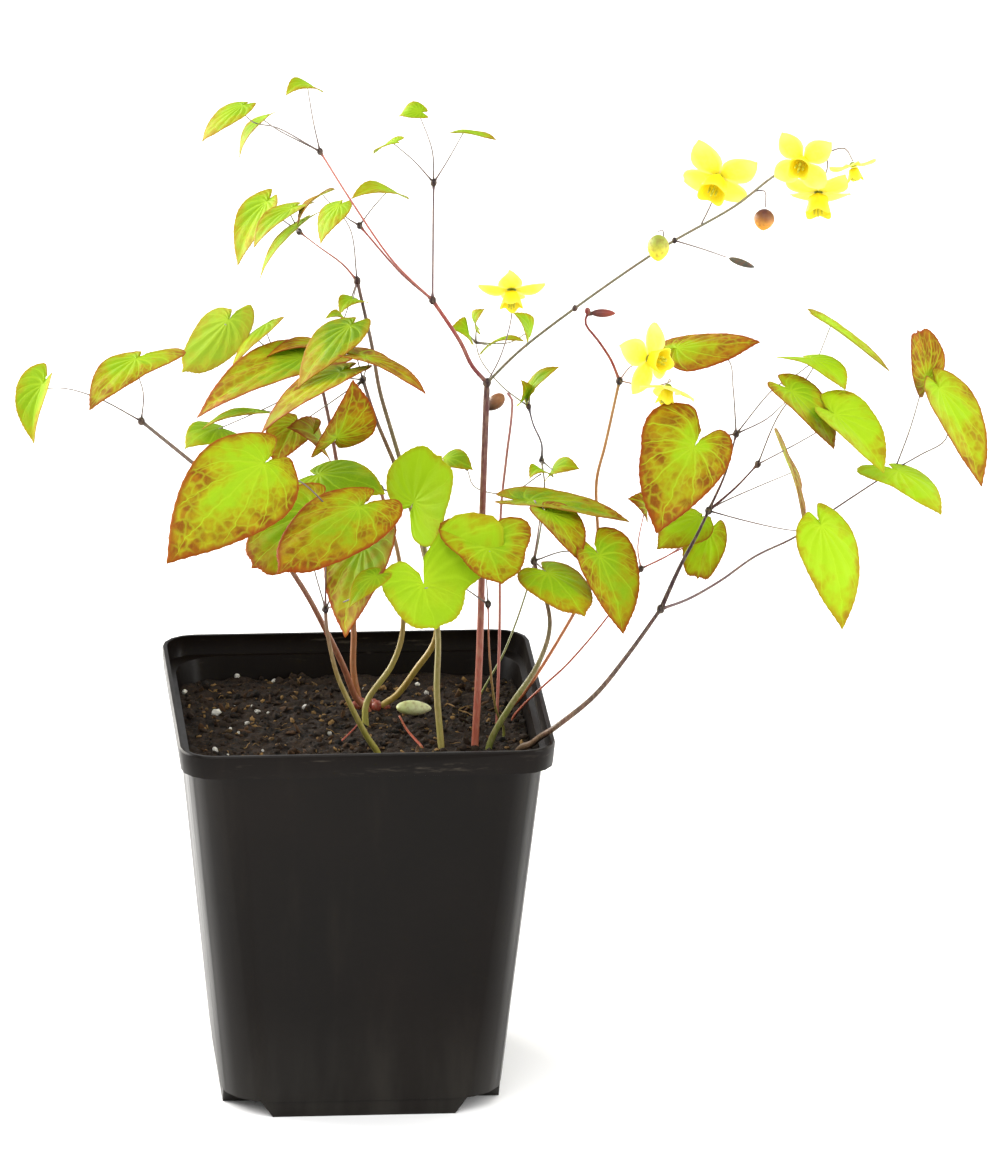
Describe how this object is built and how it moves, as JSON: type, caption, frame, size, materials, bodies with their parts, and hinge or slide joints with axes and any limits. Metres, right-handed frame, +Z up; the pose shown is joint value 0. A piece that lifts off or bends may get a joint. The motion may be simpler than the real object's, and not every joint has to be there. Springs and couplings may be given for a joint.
{
  "type": "potted flowering perennial plant",
  "caption": "Barrenwort in a square black nursery pot: wiry red stalks, heart-shaped green leaflets flushed bronze, and a nodding spray of pale yellow flowers.",
  "frame": {"origin": "middle of the pot's flat foot, on the surface that it stands on", "axes": "+Z up; -Y out of the pot's front face; +X to the right seen from the front, the side that the flower spray leans to"},
  "size_m": [0.283, 0.1139, 0.3115],
  "materials": {
    "pot": "thin moulded plastic with a soft sheen",
    "soil": "moist crumbly bark and peat mix with white grains",
    "leaf": "satin green leaf with paler veins, some margins bronze",
    "bronze_leaf": "satin young leaf flushed bronze between its green veins",
    "red_stem": "smooth wiry stalk, red-brown to dark purple",
    "sepal": "soft matt pale yellow",
    "cup": "satin deeper yellow",
    "bud": "satin red-brown bud scales"
  },
  "bodies": {
    "root": {"pot": "pot", "flowering_stem": "red_stem", "red_flowering_stem": "red_stem", "pink_bud_stem": "red_stem", "frond_left": "leaf", "frond_back_left": "leaf", "frond_top_left": "leaf", "frond_middle_left": "bronze_leaf", "frond_inner": "leaf", "frond_front_left": "leaf", "frond_front_middle": "leaf", "frond_right_of_middle": "leaf", "frond_young": "leaf", "frond_red_stalked": "leaf", "frond_right": "leaf", "red_shoot": "red_stem", "red_stub": "red_stem", "flower_low_left_sepals": "sepal", "flower_low_left_cup": "cup", "flower_red_stem_sepals": "sepal", "flower_red_stem_cup": "cup", "flower_red_stem_young_sepals": "sepal", "flower_red_stem_young_cup": "cup", "flower_spray_first_sepals": "sepal", "flower_spray_first_cup": "cup", "flower_spray_middle_sepals": "sepal", "flower_spray_middle_cup": "cup", "flower_spray_hanging_sepals": "sepal", "flower_spray_hanging_cup": "cup", "flower_spray_last_sepals": "sepal", "flower_spray_last_cup": "cup", "bud_spray_low": "cup", "bud_spray_orange": "bud", "bud_spray_dark": "bud", "bud_red_stem": "bud", "bud_pink_stem": "bud", "shoot_tip": "sepal", "soil": "soil"}
  },
  "joints": []
}
